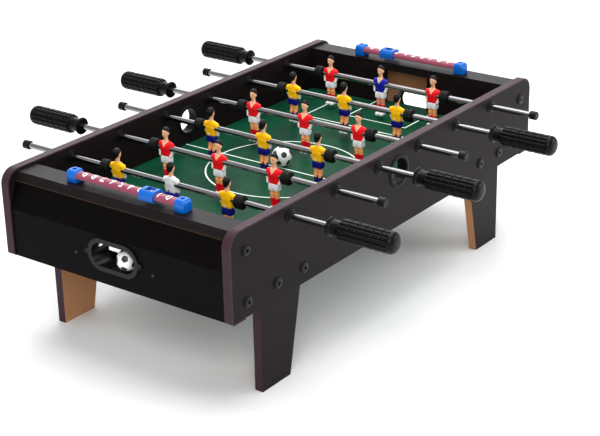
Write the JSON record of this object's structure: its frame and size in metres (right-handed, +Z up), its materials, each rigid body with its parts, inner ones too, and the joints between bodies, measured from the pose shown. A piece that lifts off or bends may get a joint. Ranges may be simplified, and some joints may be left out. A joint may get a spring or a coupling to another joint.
{
  "type": "tabletop foosball table",
  "caption": "Tabletop football game with sliding and spinning player rods, ribbed handles, sliding score counters, ball returns and short legs.",
  "frame": {"origin": "on the ground under the middle of the box", "axes": "+X along the table towards the red goal, +Y to the far side, +Z up"},
  "size_m": [0.7, 0.674, 0.25],
  "materials": {
    "black_laminate": "satin black PVC laminate on fibreboard",
    "edge_band": "satin purple-brown PVC edge band",
    "leg_board": "black laminate outside, raw fibreboard inside",
    "raw_board": "raw fibreboard",
    "green_field": "printed green laminate, glossy, with white lines",
    "black_metal": "black oxide",
    "zinc_steel": "zinc plated",
    "black_plastic": "moulded black plastic",
    "handle_plastic": "moulded black plastic with ribs",
    "blue_plastic": "moulded blue plastic",
    "maroon_bar": "maroon plastic with white numerals",
    "chrome_tube": "polished",
    "bumper_rubber": "matte",
    "yellow_players": "painted moulded plastic",
    "red_players": "painted moulded plastic",
    "ball_plastic": "white with black printed patches"
  },
  "bodies": {
    "table": {"corner_blocks": "raw_board", "far_edge_band": "edge_band", "far_side_wall": "black_laminate", "leg_red_far": "leg_board", "leg_red_near": "leg_board", "leg_yellow_far": "leg_board", "leg_yellow_near": "leg_board", "near_edge_band": "edge_band", "near_side_wall": "black_laminate", "playing_field": "green_field", "red_ball_tray": "black_plastic", "red_end_panel": "black_laminate", "red_goal_boards": "black_laminate", "red_ledge": "black_laminate", "red_score_bar": "maroon_bar", "rod_bushings": "black_plastic", "score_brackets": "blue_plastic", "serve_hole_rings": "black_plastic", "small_screws": "zinc_steel", "tee_nuts": "zinc_steel", "wall_bolts": "black_metal", "yellow_ball_tray": "black_plastic", "yellow_end_panel": "black_laminate", "yellow_goal_boards": "black_laminate", "yellow_ledge": "black_laminate", "yellow_score_bar": "maroon_bar"},
    "rod1_slide": {"rod1_bumpers": "bumper_rubber"},
    "rod1": {"rod1_tube": "chrome_tube", "rod1_handle": "handle_plastic", "rod1_end_cap": "black_plastic", "rod1_players": "yellow_players"},
    "rod2_slide": {"rod2_bumpers": "bumper_rubber"},
    "rod2": {"rod2_tube": "chrome_tube", "rod2_handle": "handle_plastic", "rod2_end_cap": "black_plastic", "rod2_players": "red_players"},
    "rod3_slide": {"rod3_bumpers": "bumper_rubber"},
    "rod3": {"rod3_tube": "chrome_tube", "rod3_handle": "handle_plastic", "rod3_end_cap": "black_plastic", "rod3_players": "yellow_players"},
    "rod4_slide": {"rod4_bumpers": "bumper_rubber"},
    "rod4": {"rod4_tube": "chrome_tube", "rod4_handle": "handle_plastic", "rod4_end_cap": "black_plastic", "rod4_players": "red_players"},
    "rod5_slide": {"rod5_bumpers": "bumper_rubber"},
    "rod5": {"rod5_tube": "chrome_tube", "rod5_handle": "handle_plastic", "rod5_end_cap": "black_plastic", "rod5_players": "yellow_players"},
    "rod6_slide": {"rod6_bumpers": "bumper_rubber"},
    "rod6": {"rod6_tube": "chrome_tube", "rod6_handle": "handle_plastic", "rod6_end_cap": "black_plastic", "rod6_players": "red_players"},
    "yellow_score_slider": {"yellow_score_slider": "blue_plastic"},
    "red_score_slider": {"red_score_slider": "blue_plastic"},
    "field_ball": {"field_ball": "ball_plastic"},
    "tray_ball": {"tray_ball": "ball_plastic"}
  },
  "joints": [
    {"name": "rod1_push_pull", "type": "slide", "parent": "table", "child": "rod1_slide", "axis": [0, 1, 0], "range_m": [-0.0535, 0.0535]},
    {"name": "rod1_spin", "type": "hinge", "parent": "rod1_slide", "child": "rod1", "pos_m": [-0.2355, 0, 0.221], "axis": [0, 1, 0], "continuous": true},
    {"name": "rod2_push_pull", "type": "slide", "parent": "table", "child": "rod2_slide", "axis": [0, 1, 0], "range_m": [-0.0535, 0.0535]},
    {"name": "rod2_spin", "type": "hinge", "parent": "rod2_slide", "child": "rod2", "pos_m": [-0.1413, 0, 0.221], "axis": [0, 1, 0], "continuous": true},
    {"name": "rod3_push_pull", "type": "slide", "parent": "table", "child": "rod3_slide", "axis": [0, 1, 0], "range_m": [-0.0535, 0.0535]},
    {"name": "rod3_spin", "type": "hinge", "parent": "rod3_slide", "child": "rod3", "pos_m": [-0.0471, 0, 0.221], "axis": [0, 1, 0], "continuous": true},
    {"name": "rod4_push_pull", "type": "slide", "parent": "table", "child": "rod4_slide", "axis": [0, 1, 0], "range_m": [-0.0535, 0.0535]},
    {"name": "rod4_spin", "type": "hinge", "parent": "rod4_slide", "child": "rod4", "pos_m": [0.0471, 0, 0.221], "axis": [0, 1, 0], "continuous": true},
    {"name": "rod5_push_pull", "type": "slide", "parent": "table", "child": "rod5_slide", "axis": [0, 1, 0], "range_m": [-0.0535, 0.0535]},
    {"name": "rod5_spin", "type": "hinge", "parent": "rod5_slide", "child": "rod5", "pos_m": [0.1413, 0, 0.221], "axis": [0, 1, 0], "continuous": true},
    {"name": "rod6_push_pull", "type": "slide", "parent": "table", "child": "rod6_slide", "axis": [0, 1, 0], "range_m": [-0.0535, 0.0535]},
    {"name": "rod6_spin", "type": "hinge", "parent": "rod6_slide", "child": "rod6", "pos_m": [0.2355, 0, 0.221], "axis": [0, 1, 0], "continuous": true},
    {"name": "yellow_score_slide", "type": "slide", "parent": "table", "child": "yellow_score_slider", "axis": [0, 1, 0], "range_m": [-0.03, 0.105]},
    {"name": "red_score_slide", "type": "slide", "parent": "table", "child": "red_score_slider", "axis": [0, -1, 0], "range_m": [-0.03, 0.105]},
    {"name": "field_ball_lift", "type": "slide", "parent": "table", "child": "field_ball", "axis": [0, 0, 1], "range_m": [0, 0.12]},
    {"name": "tray_ball_out", "type": "slide", "parent": "table", "child": "tray_ball", "axis": [-0.98, 0, 0.199], "range_m": [0, 0.06]}
  ]
}
